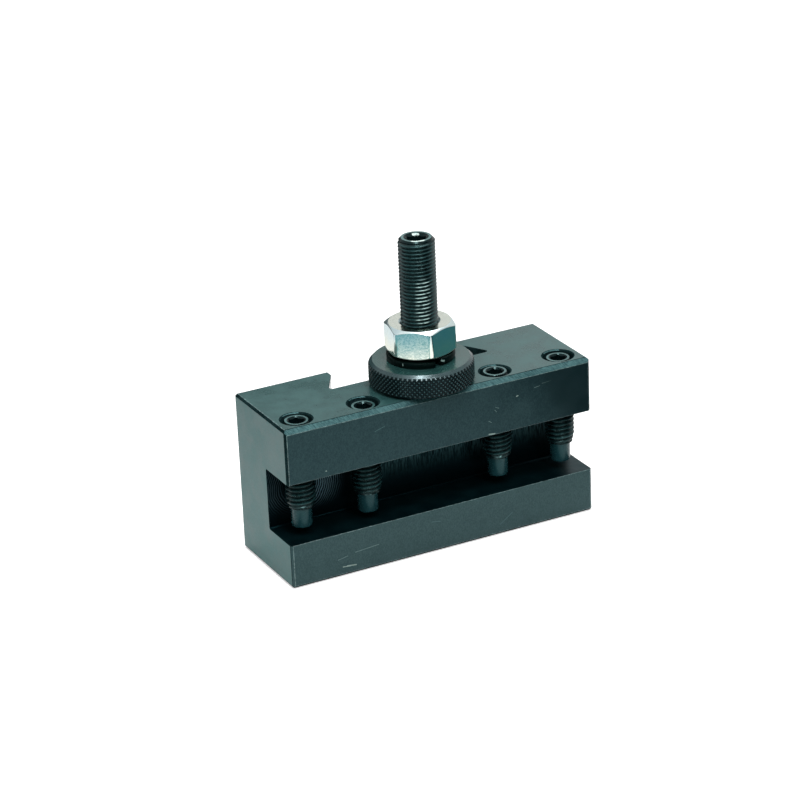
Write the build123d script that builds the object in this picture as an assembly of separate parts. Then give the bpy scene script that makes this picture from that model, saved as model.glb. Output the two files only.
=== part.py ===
from build123d import *
from math import radians, tan
import os

# Turning and facing tool holder for a dovetail quick-change tool post.
# Millimetres, +Z up. X runs along the tool slot, -Y is the open side of the slot and +Y
# is the dovetail side. The origin is the middle of the block's underside.

# Block
BODY_LENGTH = 90.0
BODY_DEPTH = 30.0
LOWER_JAW = 12.3
SLOT_HEIGHT = 17.1
UPPER_JAW = 15.2
SLOT_DEPTH = 12.9
SLOT_CORNER_R = 0.5
TOP_FRONT_CHAMFER = 1.2
BOTTOM_FRONT_CHAMFER = 0.8
BACK_CHAMFER = 0.5
END_CHAMFER = 0.6
BACK_CORNER_CHAMFER = 0.25

# Dovetail slot down the back
DOVETAIL_MOUTH = 38.2
DOVETAIL_DEPTH = 11.3
DOVETAIL_FLANK_DEG = 60.0
DOVETAIL_TIP_FLAT = 2.7
DOVETAIL_CORNER_R = 0.8
DOVETAIL_LIP_CHAMFER = 0.3
DOVETAIL_OFFSET = 0.95

# Four clamp screws, listed from the left end to the right
SCREW_D = 7.95
SCREW_LENGTH = 29.5
SCREW_POINT_D = 5.5
SCREW_POINT_LENGTH = 5.4
SCREW_POINT_CHAMFER = 0.3
SCREW_RUNOUT_LENGTH = 2.5
SCREW_RUNOUT_D = 6.9
SCREW_TOP_CHAMFER = 0.9
SCREW_SOCKET_AF = 4.0
SCREW_SOCKET_DEPTH = 4.5
SCREW_PLAY = 0.06
SCREW_FROM_FRONT = 6.1
SCREW_FROM_END = 6.3
SCREW_SPACING = 19.2
SCREW_LIFTS = (2.5, 2.05, 2.8, 2.35)
SCREW_TURNS = (6.0, 45.0, 14.0, 3.0)
SCREW_HOLE_CHAMFER = 0.35

# Height stud
STUD_D = 9.8
STUD_STANDOUT = 40.4
STUD_GRIP = 12.0
STUD_PLAY = 0.05
STUD_FROM_FRONT = 10.3
STUD_END_CHAMFER = 0.9
STUD_SOCKET_AF = 5.0
STUD_SOCKET_DEPTH = 6.0
STUD_SOCKET_MOUTH_D = 6.6

# Knurled height nut, split lock washer and hexagon lock nut, stacked on the stud
NUT_PLAY = 0.05
HEIGHT_NUT_GAP = 0.8
HEIGHT_NUT_D = 28.0
HEIGHT_NUT_THICK = 6.2
HEIGHT_NUT_TOP_CHAMFER = 1.15
HEIGHT_NUT_BOTTOM_CHAMFER = 0.45
WASHER_PLAY = 0.3
WASHER_WIDTH = 3.85
WASHER_THICK = 1.6
WASHER_RISE = 0.6
WASHER_SPLIT_DEG = 11.0
WASHER_LOW_END_DEG = -93.0
LOCK_NUT_AF = 17.0
LOCK_NUT_THICK = 8.0
LOCK_NUT_FACE_D = 16.2
LOCK_NUT_CHAMFER_DEG = 30.0
LOCK_NUT_CORNER_DEG = 20.0
LOCK_NUT_MOUTH = 0.5

# Heights and places that follow from the sizes above
SLOT_CEILING = LOWER_JAW + SLOT_HEIGHT
BODY_TOP = SLOT_CEILING + UPPER_JAW
FRONT = -BODY_DEPTH / 2
BACK = BODY_DEPTH / 2
END = BODY_LENGTH / 2
SLOT_WALL = FRONT + SLOT_DEPTH
DOVETAIL_FLOOR = BACK - DOVETAIL_DEPTH
SCREW_Y = FRONT + SCREW_FROM_FRONT
SCREW_OUTER_X = END - SCREW_FROM_END
SCREW_INNER_X = SCREW_OUTER_X - SCREW_SPACING
SCREW_PLACES = (-SCREW_OUTER_X, -SCREW_INNER_X, SCREW_INNER_X, SCREW_OUTER_X)
STUD_Y = FRONT + STUD_FROM_FRONT
STUD_FOOT = BODY_TOP - STUD_GRIP
NUT_BORE_R = STUD_D / 2 + NUT_PLAY
HEIGHT_NUT_FOOT = BODY_TOP + HEIGHT_NUT_GAP
WASHER_FOOT = HEIGHT_NUT_FOOT + HEIGHT_NUT_THICK
LOCK_NUT_FOOT = WASHER_FOOT + WASHER_THICK + WASHER_RISE


def turned(*outline):
    """A solid turned about Z from its closed outline of (radius, height) points."""
    section = make_face(Polyline(*[(r, 0, z) for r, z in outline], close=True))
    return revolve(section, Axis.Z)


def hex_prism(across_flats, height, corner_deg=0.0):
    """A hexagonal prism standing on the origin, with one corner at the given angle."""
    outline = RegularPolygon(across_flats / 2, 6, major_radius=False)
    return Rot(0, 0, corner_deg) * extrude(outline, amount=height)


def corners_at(sketch, *places):
    """The corners of a flat outline that lie at the given points."""
    wanted = [Vector(*place) for place in places]
    return [v for v in sketch.vertices() if min((Vector(v) - w).length for w in wanted) < 0.01]


def side_profile():
    """The block seen along X, as a C that opens to the front, with its edges broken."""
    bottom_front = (0, FRONT, 0)
    top_front = (0, FRONT, BODY_TOP)
    bottom_back = (0, BACK, 0)
    top_back = (0, BACK, BODY_TOP)
    lower_lip = (0, FRONT, LOWER_JAW)
    upper_lip = (0, FRONT, SLOT_CEILING)
    slot_floor = (0, SLOT_WALL, LOWER_JAW)
    slot_ceiling = (0, SLOT_WALL, SLOT_CEILING)
    outline = make_face(Polyline(
        bottom_front, lower_lip, slot_floor, slot_ceiling, upper_lip,
        top_front, top_back, bottom_back, close=True))
    outline = fillet(corners_at(outline, slot_floor, slot_ceiling), SLOT_CORNER_R)
    outline = chamfer(corners_at(outline, bottom_back, top_back), BACK_CHAMFER)
    outline = chamfer(corners_at(outline, bottom_front), BOTTOM_FRONT_CHAMFER)
    return chamfer(corners_at(outline, top_front), TOP_FRONT_CHAMFER)


def end_trim():
    """The block's length seen from the front, with its four corners broken."""
    face = Rectangle(BODY_LENGTH, BODY_TOP, align=(Align.CENTER, Align.MIN))
    return extrude(Plane.XZ * chamfer(face.vertices(), END_CHAMFER), amount=BODY_DEPTH, both=True)


def plan_trim():
    """The block seen from above, with its front corners broken and its back ones nearly sharp."""
    plan = Rectangle(BODY_LENGTH, BODY_DEPTH)
    plan = chamfer(corners_at(plan, (-END, FRONT), (END, FRONT)), END_CHAMFER)
    plan = chamfer(corners_at(plan, (-END, BACK), (END, BACK)), BACK_CORNER_CHAMFER)
    return extrude(plan, amount=BODY_TOP)


def dovetail_cut():
    """The dovetail slot: rounded inner corners, slanting flanks, and square-cut lips."""
    half_mouth = DOVETAIL_MOUTH / 2
    flank_depth = DOVETAIL_DEPTH - DOVETAIL_TIP_FLAT
    half_floor = half_mouth + flank_depth / tan(radians(DOVETAIL_FLANK_DEG))
    lip = DOVETAIL_LIP_CHAMFER
    right = [
        (half_floor, DOVETAIL_FLOOR), (half_mouth, BACK - DOVETAIL_TIP_FLAT),
        (half_mouth, BACK - lip), (half_mouth + lip, BACK), (half_mouth + lip, BACK + lip)]
    left = [(-x, y) for x, y in reversed(right)]
    outline = make_face(Polyline(*right, *left, close=True))
    outline = fillet(corners_at(outline, right[0], left[-1]), DOVETAIL_CORNER_R)
    return extrude(Pos(DOVETAIL_OFFSET, 0) * outline, amount=BODY_TOP)


def screw_hole():
    """One tapped hole for a clamp screw, through the upper jaw, with broken mouths."""
    r = SCREW_D / 2 + SCREW_PLAY
    wide = r + SCREW_HOLE_CHAMFER
    foot = SLOT_CEILING
    return turned(
        (0, foot), (wide, foot), (r, foot + SCREW_HOLE_CHAMFER),
        (r, BODY_TOP - SCREW_HOLE_CHAMFER), (wide, BODY_TOP), (0, BODY_TOP))


def stud_hole():
    """The blind tapped hole that holds the height stud."""
    r = STUD_D / 2 + STUD_PLAY
    return turned((0, STUD_FOOT), (r, STUD_FOOT), (r, BODY_TOP), (0, BODY_TOP))


def holder_body():
    """The steel block: two jaws, the tool slot, the dovetail slot and the tapped holes."""
    block = extrude(side_profile(), amount=END, both=True) & end_trim() & plan_trim()
    block -= dovetail_cut()
    for x in SCREW_PLACES:
        block -= Pos(x, SCREW_Y, 0) * screw_hole()
    return block - Pos(0, STUD_Y, 0) * stud_hole()


def clamp_screw(turn):
    """A dog-point set screw standing on the origin, its socket turned by some degrees."""
    r = SCREW_D / 2
    point_r = SCREW_POINT_D / 2
    tip = SCREW_POINT_CHAMFER
    shoulder = SCREW_POINT_LENGTH
    top = SCREW_LENGTH
    shank = turned(
        (0, 0), (point_r - tip, 0), (point_r, tip), (point_r, shoulder),
        (SCREW_RUNOUT_D / 2, shoulder), (r, shoulder + SCREW_RUNOUT_LENGTH),
        (r, top - SCREW_TOP_CHAMFER), (r - SCREW_TOP_CHAMFER, top), (0, top))
    socket = hex_prism(SCREW_SOCKET_AF, SCREW_SOCKET_DEPTH, turn)
    return shank - Pos(0, 0, top - SCREW_SOCKET_DEPTH) * socket


def height_stud():
    """The threaded stud with a countersunk hexagon socket in its upper end."""
    r = STUD_D / 2
    edge = STUD_END_CHAMFER
    top = STUD_GRIP + STUD_STANDOUT
    stud = turned(
        (0, 0), (r - edge, 0), (r, edge), (r, top - edge), (r - edge, top), (0, top))
    socket = hex_prism(STUD_SOCKET_AF, STUD_SOCKET_DEPTH)
    mouth_r = STUD_SOCKET_MOUTH_D / 2
    mouth = turned((0, top - mouth_r), (mouth_r, top), (0, top))
    return stud - Pos(0, 0, top - STUD_SOCKET_DEPTH) * socket - mouth


def height_nut():
    """The knurled disc on the stud, without the fine diamond pattern of its rim."""
    r = HEIGHT_NUT_D / 2
    low = HEIGHT_NUT_BOTTOM_CHAMFER
    high = HEIGHT_NUT_TOP_CHAMFER
    top = HEIGHT_NUT_THICK
    return turned(
        (NUT_BORE_R, 0), (r - low, 0), (r, low), (r, top - high), (r - high, top),
        (NUT_BORE_R, top))


def lock_washer():
    """The split spring washer: a bar wound left-handed, so that its cut ends stand apart."""
    turn = 360 - WASHER_SPLIT_DEG
    middle_r = STUD_D / 2 + WASHER_PLAY + WASHER_WIDTH / 2
    line = Helix(WASHER_RISE * 360 / turn, WASHER_RISE, middle_r, lefthand=True)
    cut_end = Plane(origin=line @ 0, x_dir=(1, 0, 0), z_dir=line % 0)
    ring = sweep(cut_end * Rectangle(WASHER_WIDTH, WASHER_THICK), line, is_frenet=True)
    return Rot(0, 0, WASHER_LOW_END_DEG) * Pos(0, 0, WASHER_THICK / 2) * ring


def lock_nut():
    """The hexagon nut, its corners turned off to a cone at both ends."""
    face_r = LOCK_NUT_FACE_D / 2
    top = LOCK_NUT_THICK
    widest = face_r + top / 2 / tan(radians(LOCK_NUT_CHAMFER_DEG))
    prism = hex_prism(LOCK_NUT_AF, top, LOCK_NUT_CORNER_DEG)
    cones = turned((0, 0), (face_r, 0), (widest, top / 2), (face_r, top), (0, top))
    wide = NUT_BORE_R + LOCK_NUT_MOUTH
    bore = turned(
        (0, 0), (wide, 0), (NUT_BORE_R, LOCK_NUT_MOUTH),
        (NUT_BORE_R, top - LOCK_NUT_MOUTH), (wide, top), (0, top))
    return (prism & cones) - bore


def all_parts():
    """Every sub-part in its place, by name."""
    parts = {"holder_body": holder_body()}
    settings = zip(SCREW_PLACES, SCREW_LIFTS, SCREW_TURNS)
    for number, (x, lift, turn) in enumerate(settings, start=1):
        place = Pos(x, SCREW_Y, LOWER_JAW + lift)
        parts[f"clamp_screw_{number}"] = place * clamp_screw(turn)
    parts["height_stud"] = Pos(0, STUD_Y, STUD_FOOT) * height_stud()
    parts["height_nut"] = Pos(0, STUD_Y, HEIGHT_NUT_FOOT) * height_nut()
    parts["lock_washer"] = Pos(0, STUD_Y, WASHER_FOOT) * lock_washer()
    parts["lock_nut"] = Pos(0, STUD_Y, LOCK_NUT_FOOT) * lock_nut()
    return parts


os.makedirs("parts", exist_ok=True)
for name, solid in all_parts().items():
    export_step(solid, f"parts/{name}.step")
    print(name, round(solid.volume, 1), solid.is_valid)
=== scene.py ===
"""Shapes and finishes of a lathe tool holder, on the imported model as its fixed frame.

One class stands for each thing that comes apart on a bench, one small class for each finish,
and one class for the studio. Lengths are metres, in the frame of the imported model: X along
the tool slot, Y towards the dovetail, Z up.
"""
import logging
from dataclasses import dataclass, field
from enum import Enum, IntEnum
from math import atan, cos, floor, pi, radians, sin, sqrt, tan
from typing import Callable

import bmesh
import bpy
from mathutils import Matrix, Vector


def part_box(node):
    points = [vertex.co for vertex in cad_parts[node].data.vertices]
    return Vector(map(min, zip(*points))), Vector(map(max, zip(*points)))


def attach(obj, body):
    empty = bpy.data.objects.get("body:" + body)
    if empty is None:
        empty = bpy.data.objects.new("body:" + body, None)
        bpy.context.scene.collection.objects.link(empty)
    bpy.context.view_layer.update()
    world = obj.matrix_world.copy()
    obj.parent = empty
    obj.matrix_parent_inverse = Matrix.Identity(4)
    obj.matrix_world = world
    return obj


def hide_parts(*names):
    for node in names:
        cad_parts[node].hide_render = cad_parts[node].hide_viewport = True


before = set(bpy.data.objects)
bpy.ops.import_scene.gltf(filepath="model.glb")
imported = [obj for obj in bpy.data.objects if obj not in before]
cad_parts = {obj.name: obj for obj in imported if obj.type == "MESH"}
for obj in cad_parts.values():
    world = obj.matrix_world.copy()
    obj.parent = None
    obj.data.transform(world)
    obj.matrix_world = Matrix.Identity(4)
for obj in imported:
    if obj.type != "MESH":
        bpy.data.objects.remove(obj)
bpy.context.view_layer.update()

MM = 0.001
TURN = 2 * pi
MERGE = 0.002 * MM
ANGLE_ERROR = 1e-9
LARGE_FACE = 20 * MM ** 2
CARD_Z = 0.2 * MM
SOCKET_TURNS_DEG = (6.0, 45.0, 14.0, 3.0)
# How much of a face's normal points along an axis, from which the face counts as such.
HALF, LEANING, STEEP, LEVEL, NEARLY_FLAT = 0.5, 0.6, 0.8, 0.9, 0.95
ZERO = (0.0, 0.0, 0.0)
WHITE = (1.0, 1.0, 1.0)

Point = tuple[float, float, float]
Row = list[Point]
Flat = list[tuple[float, float]]
Colour = tuple[float, float, float]
Profile = Callable[[float], float]
Socket = bpy.types.NodeSocket
Value = Socket | float | Point
Piece = bpy.types.Object
Mesh = bpy.types.Mesh
Material = bpy.types.Material
Shape = bmesh.types.BMesh
Polygon = bpy.types.MeshPolygon

log = logging.getLogger("tool_holder")


class Slot(Enum):
    """The material slots of the record."""

    BLOCK = "blackened_block"
    SCREW = "blackened_screw"
    NUT = "blackened_nut"
    WASHER = "spring_washer"
    ZINC = "bright_zinc"


class Body(Enum):
    """The moving bodies that a piece can ride on, other than the clamp screws."""

    HOLDER = "holder"
    WASHER = "washer"
    KNURLED_NUT = "knurled_nut"
    HEX_NUT = "hex_nut"


class Bend(Enum):
    """How one range of values is mapped to another."""

    SMOOTH = "SMOOTHSTEP"
    STRAIGHT = "LINEAR"


class BlockFace(IntEnum):
    """The block's finishes."""

    GROUND = 0
    RUBBED = 1
    HATCHED = 2
    WALL = 3
    SLOT = 4
    FRONT = 5
    END = 6
    BROKEN = 7
    LOWER_FRONT = 8
    FLANK = 9


class ScrewFace(IntEnum):
    """The finishes of a screw and of the stud."""

    THREAD = 0
    RECESS = 1
    END = 2


class DiscFace(IntEnum):
    """The knurled nut's finishes."""

    RIM = 0
    FLAT = 1
    BEVEL = 2


class HexFace(IntEnum):
    """The lock nut's finishes."""

    SIDE = 0
    CONE = 1
    END = 2


class Nodes:
    """A node tree, with short calls for the nodes that the finishes use."""

    def __init__(self, tree: bpy.types.NodeTree) -> None:
        """Takes over a tree."""
        self.tree = tree

    def feed(self, target: Socket, value: Value) -> None:
        """Gives an input a link or a plain value.

        Args:
            target: The input socket.
            value: A socket, a number, a vector or a colour.
        """
        if isinstance(value, Socket):
            self.tree.links.new(value, target)
        elif isinstance(value, tuple) and len(target.default_value) == 4:
            target.default_value = (*value, 1.0)
        else:
            target.default_value = value

    def node(self, kind: str, output: str | int, inputs: dict[str | int, Value],
             **options: str) -> Socket:
        """Adds a node.

        Args:
            kind: Its type, without the ShaderNode that all types start with.
            output: The output that is wanted, by name or number.
            inputs: What its inputs are given, by name or number.
            **options: The node's own options, which are set first.

        Returns:
            The output.
        """
        node = self.tree.nodes.new(f"ShaderNode{kind}")
        for name, option in options.items():
            setattr(node, name, option)
        for name, value in inputs.items():
            self.feed(node.inputs[name], value)
        return node.outputs[output]

    def maths(self, operation: str, first: Value, second: Value = 0.0) -> Socket:
        """A math node on one or two values."""
        return self.node("Math", "Value", {0: first, 1: second}, operation=operation)

    def times(self, product: Value, *factors: Value) -> Value:
        """The product of some values.

        Args:
            product: The first value.
            *factors: The others.

        Returns:
            Their product.
        """
        for factor in factors:
            product = self.maths("MULTIPLY", product, factor)
        return product

    def vector(self, operation: str, first: Value, second: Value = ZERO,
               scale: Value = 1.0) -> Socket:
        """A vector math node.

        Args:
            operation: Its operation.
            first: The first vector.
            second: The second vector.
            scale: The factor, where the operation is SCALE.

        Returns:
            A number for a length, a distance and a dot product, or else a vector.
        """
        output = "Value" if operation in ("LENGTH", "DISTANCE", "DOT_PRODUCT") else "Vector"
        return self.node("VectorMath", output, {0: first, 1: second, 3: scale},
                         operation=operation)

    def spread(self, value: Value, low: float, high: float, to_low: float = 0.0,
               to_high: float = 1.0, bend: Bend = Bend.SMOOTH) -> Socket:
        """Maps a range of values to another range, and holds it there.

        Args:
            value: The socket to map.
            low: Where the range starts.
            high: Where the range ends.
            to_low: The result at the start.
            to_high: The result at the end.
            bend: How the result rises from one to the other.

        Returns:
            The mapped value.
        """
        return self.node("MapRange", "Result", {
            "Value": value, "From Min": low, "From Max": high,
            "To Min": to_low, "To Max": to_high}, interpolation_type=bend.value)

    def blend(self, share: Value, first: Value, second: Value) -> Socket:
        """A colour between two others, where a share of 0 gives the first and 1 the second."""
        return self.node("Mix", 2, {"Factor": share, 6: first, 7: second}, data_type="RGBA")

    def ramp(self, value: Value, *stops: tuple[float, Colour]) -> Socket:
        """Colours along a range of values.

        Args:
            value: The value.
            *stops: Values in rising order, each with its colour.

        Returns:
            The colour.
        """
        first, last = stops[0][0], stops[-1][0]
        node = self.tree.nodes.new("ShaderNodeValToRGB")
        band = node.color_ramp.elements
        band.remove(band[-1])
        band[0].position = 0.0
        band[0].color = (*stops[0][1], 1.0)
        for at, colour in stops[1:]:
            band.new((at - first) / (last - first)).color = (*colour, 1.0)
        self.feed(node.inputs["Fac"], self.spread(value, first, last, bend=Bend.STRAIGHT))
        return node.outputs["Color"]


class Shading(Nodes):
    """A material's node tree, which ends in one principled shader."""

    def __init__(self, name: str) -> None:
        """Starts a material.

        Args:
            name: The material's name.
        """
        self.material = bpy.data.materials.new(name)
        self.material.use_nodes = True
        super().__init__(self.material.node_tree)
        self.shader = self.tree.nodes["Principled BSDF"]
        self.place = self.node("TexCoord", "Object", {})

    def set(self, name: str, value: Value) -> None:
        """Sets or links one input of the shader."""
        self.feed(self.shader.inputs[name], value)

    def coat(self, colour: Value, roughness: Value, gloss: float = 0.5,
             tint: Colour = WHITE) -> None:
        """Sets what every finish has.

        Args:
            colour: The colour.
            roughness: The roughness.
            gloss: The level of the gloss.
            tint: Its tint.
        """
        self.set("Base Color", colour)
        self.set("Roughness", roughness)
        self.set("Specular IOR Level", gloss)
        self.set("Specular Tint", tint)

    def noise(self, fineness: float | Point, detail: float = 2.0, rough: float = 0.5,
              turn: Point = ZERO) -> Socket:
        """A grey noise pattern in the object's own coordinates.

        Args:
            fineness: Pattern units per metre, one number or one for each axis.
            detail: How many finer layers it has.
            rough: How strong the finer layers are.
            turn: How far the pattern is turned about each axis, in radians.

        Returns:
            The pattern, mostly between 0.3 and 0.7.
        """
        scale = fineness if isinstance(fineness, tuple) else (fineness,) * 3
        rotated = self.node("Mapping", "Vector", {"Vector": self.place, "Rotation": turn})
        scaled = self.node("Mapping", "Vector", {"Vector": rotated, "Scale": scale})
        return self.node("TexNoise", "Fac", {
            "Vector": scaled, "Scale": 1.0, "Detail": detail, "Roughness": rough})

    def uneven(self, pattern: Socket, middle: float, less: float = 0.05, more: float = 0.06,
               low: float = 0.3, high: float = 0.7) -> Socket:
        """A value that varies a little round a middle, from low to high places of a pattern."""
        return self.spread(pattern, low, high, middle - less, middle + more)

    def axis(self, letter: str) -> Socket:
        """The object's own X, Y or Z coordinate, in metres."""
        return self.node("SeparateXYZ", letter, {"Vector": self.place})

    def radial(self) -> Socket:
        """The distance from the object's own upright axis, in metres."""
        return self.vector("LENGTH", self.vector("MULTIPLY", self.place, (1.0, 1.0, 0.0)))

    def relief(self, height: Socket, depth: float) -> None:
        """Raises the surface by a pattern from 0 to 1, by a depth in metres."""
        bump = self.node("Bump", "Normal", {"Distance": depth, "Strength": 1.0, "Height": height})
        self.set("Normal", bump)


@dataclass(frozen=True)
class Mark:
    """A nick, a scratch or a rubbed place, as a short line with a width."""

    start: Point
    end: Point
    width: float
    colour: Colour
    soft_edge: tuple[float, float] = (0.7, 0.3)

    def cover(self, s: Shading, place: Socket) -> Socket:
        """Where the mark lies.

        Args:
            s: The material's nodes.
            place: The coordinates, which may be shaken a little.

        Returns:
            1 on the mark and 0 away from it.
        """
        way = Vector(self.end) - Vector(self.start)
        step = tuple(way / max(way.length_squared, MERGE ** 2))
        off = s.vector("SUBTRACT", place, self.start)
        along = s.spread(s.vector("DOT_PRODUCT", off, step), 0.0, 1.0, bend=Bend.STRAIGHT)
        gap = s.vector("DISTANCE", off, s.vector("SCALE", tuple(way), scale=along))
        return s.spread(gap, *[self.width * share for share in self.soft_edge])


def mark(start: Point, end: Point, width: float, colour: Colour) -> Mark:
    """A mark whose ends and width are given in millimetres."""
    return Mark(tuple(at * MM for at in start), tuple(at * MM for at in end), width * MM, colour)


@dataclass(frozen=True)
class Swirl:
    """Rings left by a cutter, which fade at their middle, at their rim, below and to the left.

    The rim, the middle and the surround are where each fades, as shares of the reach.
    """

    centre: Point
    pitch: float
    reach: float
    colour: Colour
    rim: tuple[float, float] = (1.0, 0.45)
    middle: tuple[float, float] = (0.28, 0.43)
    surround: tuple[float, float] = (1.25, 1.05)
    crests: tuple[float, float] = (-0.3, 0.9)
    wobble: float = 1.1 * MM
    fade_z: tuple[float, float] = (14.5 * MM, 20.0 * MM)
    fade_x: tuple[float, float] = (-38.0 * MM, -33.0 * MM)
    left_share: float = 0.2

    def over(self, s: Shading, colour: Socket, ground: Colour) -> Socket:
        """Lays the rings over a colour.

        Args:
            s: The material's nodes.
            colour: The colour away from the rings.
            ground: The colour between them.

        Returns:
            The colour with the rings.
        """
        gap = s.vector("DISTANCE", s.place, self.centre)
        shift = s.times(s.noise(350.0, 3.0, 0.6), self.wobble)
        wave = s.maths("SINE", s.times(s.maths("ADD", gap, shift), TURN / self.pitch))

        def within(shares: tuple[float, float]) -> Socket:
            """How far in from the first share of the reach to the second a place is."""
            return s.spread(gap, *[self.reach * share for share in shares])

        rings = s.times(s.spread(wave, *self.crests), within(self.rim),
                        s.spread(s.axis("Z"), *self.fade_z),
                        s.spread(s.axis("X"), *self.fade_x, self.left_share),
                        within(self.middle))
        return s.blend(rings, s.blend(within(self.surround), colour, ground), self.colour)


@dataclass(frozen=True)
class BlackOxide:
    """Machined steel with a thin black oxide skin, lightly oiled."""

    name: str
    dark: Colour = (0.018, 0.060, 0.060)
    light: Colour = (0.034, 0.094, 0.092)
    roughness: float = 0.40
    smudge: float = 6.0 * MM
    grain: float = 0.35 * MM
    grain_depth: float = 0.003 * MM
    grain_share: float = 0.45
    contrast: tuple[float, float] = (0.38, 0.62)
    lay: Point = (1.0, 1.0, 1.0)
    slant: Point = ZERO
    gloss: float = 0.5
    gloss_tint: Colour = WHITE
    # Heights over which the colour rises from dark to light: painted shade below them.
    fades_in: tuple[float, float] | None = None
    marks: tuple[Mark, ...] = ()
    shake: float = 0.12 * MM
    swirl: Swirl | None = None

    def material(self) -> Material:
        """Builds the finish: smudged colour, painted shade towards the bottom where it fades in,
        fine grain along the lay, and the marks.

        Returns:
            The material.
        """
        s = Shading(f"black oxide, {self.name}")
        smudge = s.noise(1 / self.smudge, 5.0, 0.62)
        grain = s.noise(tuple(along / self.grain for along in self.lay), 3.0, 0.6, self.slant)
        tone = s.maths("ADD", s.times(smudge, 1.0 - self.grain_share),
                       s.times(grain, self.grain_share))
        share = s.spread(tone, *self.contrast)
        # Painted shade: darker towards the bottom.
        if self.fades_in:
            share = s.times(share, s.spread(s.axis("Z"), *self.fades_in))
        colour = s.blend(share, self.dark, self.light)
        if self.swirl:
            colour = self.swirl.over(s, colour, self.dark)
        if self.marks:
            shift = s.vector("SCALE", (self.shake,) * 3, scale=s.noise(2200.0, 2.0, 0.6))
            place = s.vector("ADD", s.place, shift)
            for each in self.marks:
                colour = s.blend(each.cover(s, place), colour, each.colour)
        roughness = s.uneven(smudge, self.roughness, low=0.35, high=0.65)
        s.coat(colour, roughness, self.gloss, self.gloss_tint)
        s.relief(grain, self.grain_depth)
        return s.material


@dataclass(frozen=True)
class ThreadedOxide:
    """Black oxide on a thread: grooves painted near black as shade, and crests rubbed to grey."""

    name: str
    core_r: float
    root_r: float
    crest_r: float
    core: Colour = (0.008, 0.036, 0.042)
    groove: Colour = (0.001, 0.004, 0.005)
    flank: Colour = (0.004, 0.014, 0.015)
    crest: Colour = (0.009, 0.034, 0.036)
    roughness: float = 0.22
    gloss: float = 0.5
    gloss_tint: Colour = (0.55, 1.0, 1.0)
    crest_band: float = 0.12 * MM
    # A strip of crests painted bright: painted highlight.
    painted_highlight: Mark | None = None
    highlight_band: tuple[float, float] = (0.14 * MM, 0.05 * MM)
    grain_depth: float = 0.004 * MM

    def material(self) -> Material:
        """Builds the finish, which goes by the distance from the screw's axis.

        Returns:
            The material.
        """
        s = Shading(f"black oxide, {self.name}")
        r = s.radial()
        patchy = s.noise(700.0, 3.0, 0.6)
        grain = s.noise(4000.0)
        # The colour falls to near black at the root: painted shade in the grooves.
        inner = ((0.0, self.core), (self.core_r, self.core), (self.root_r, self.groove))
        worn = s.ramp(r, *inner, ((self.root_r + self.crest_r) / 2, self.flank),
                      (self.crest_r - self.crest_band, self.crest), (self.crest_r, self.crest))
        plain = s.ramp(r, *inner, (self.crest_r, self.flank))
        colour = s.blend(s.spread(patchy, 0.36, 0.58), plain, worn)
        # Crests inside the strip painted bright, in patches: painted highlight.
        if self.painted_highlight:
            on_crest = s.spread(r, *[self.crest_r - inside for inside in self.highlight_band])
            crest_highlight = s.times(self.painted_highlight.cover(s, s.place), on_crest, s.spread(patchy, 0.30, 0.55))
            colour = s.blend(crest_highlight, colour, self.painted_highlight.colour)
        s.coat(colour, s.uneven(grain, self.roughness), self.gloss, self.gloss_tint)
        s.relief(grain, self.grain_depth)
        return s.material


@dataclass(frozen=True)
class KnurledOxide:
    """Black oxide on the knurl, with grooves painted near black as shade and rubbed tips."""

    name: str
    root_r: float
    tip_r: float
    groove: Colour = (0.001, 0.004, 0.005)
    tip: Colour = (0.048, 0.106, 0.112)
    groove_band: float = 0.16 * MM
    tip_band: float = 0.04 * MM
    roughness: float = 0.29
    gloss: float = 0.20
    gloss_tint: Colour = (0.60, 0.95, 1.0)
    grain_depth: float = 0.006 * MM

    def material(self) -> Material:
        """Builds the finish, which goes by the distance from the nut's axis.

        Returns:
            The material.
        """
        s = Shading(f"black oxide, {self.name}")
        grain = s.noise(3000.0, 3.0, 0.6)
        # Near black in the grooves, painted shade; lighter on the rubbed tips, wear.
        colour = s.ramp(s.radial(), (self.root_r, self.groove),
                        (self.tip_r - self.groove_band, self.groove),
                        (self.tip_r - self.tip_band, self.tip), (self.tip_r, self.tip))
        roughness = s.uneven(grain, self.roughness, 0.07, 0.07)
        s.coat(colour, roughness, self.gloss, self.gloss_tint)
        s.relief(grain, self.grain_depth)
        return s.material


@dataclass(frozen=True)
class BrightZinc:
    """Bright zinc plating with a faint blue cast, and a painted reflection from cool at the top
    to warm below.
    """

    name: str = "bright zinc plating"
    cool: Colour = (0.60, 0.74, 0.77)
    warm: Colour = (0.78, 0.81, 0.70)
    roughness: float = 0.11
    clouded: float = 0.25
    peel_depth: float = 0.006 * MM

    def material(self) -> Material:
        """Builds the finish: faintly clouded plating, a painted reflection from cool at the top
        to warm below, and a slight orange peel.

        Returns:
            The material.
        """
        s = Shading(self.name)
        low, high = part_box("lock_nut")
        cloud = s.spread(s.noise(260.0, 3.0, 0.55), 0.35, 0.65)
        # Painted reflection: cool at the top and warmer towards the bottom, mixed with random
        # clouding.
        height = s.spread(s.axis("Z"), high.z - 0.8 * MM, low.z + 1.0 * MM)
        painted_reflection_and_cloud = s.maths("ADD", s.times(height, 1.0 - self.clouded),
                         s.times(cloud, self.clouded))
        peel = s.noise(1500.0)
        s.coat(s.blend(painted_reflection_and_cloud, self.cool, self.warm), s.uneven(peel, self.roughness, 0.04))
        s.set("Metallic", 1.0)
        s.relief(peel, self.peel_depth)
        return s.material


Finish = BlackOxide | ThreadedOxide | KnurledOxide | BrightZinc

BARE: Colour = (0.24, 0.32, 0.29)
PALE: Colour = (0.13, 0.20, 0.19)
SCUFF: Colour = (0.055, 0.110, 0.110)
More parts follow.
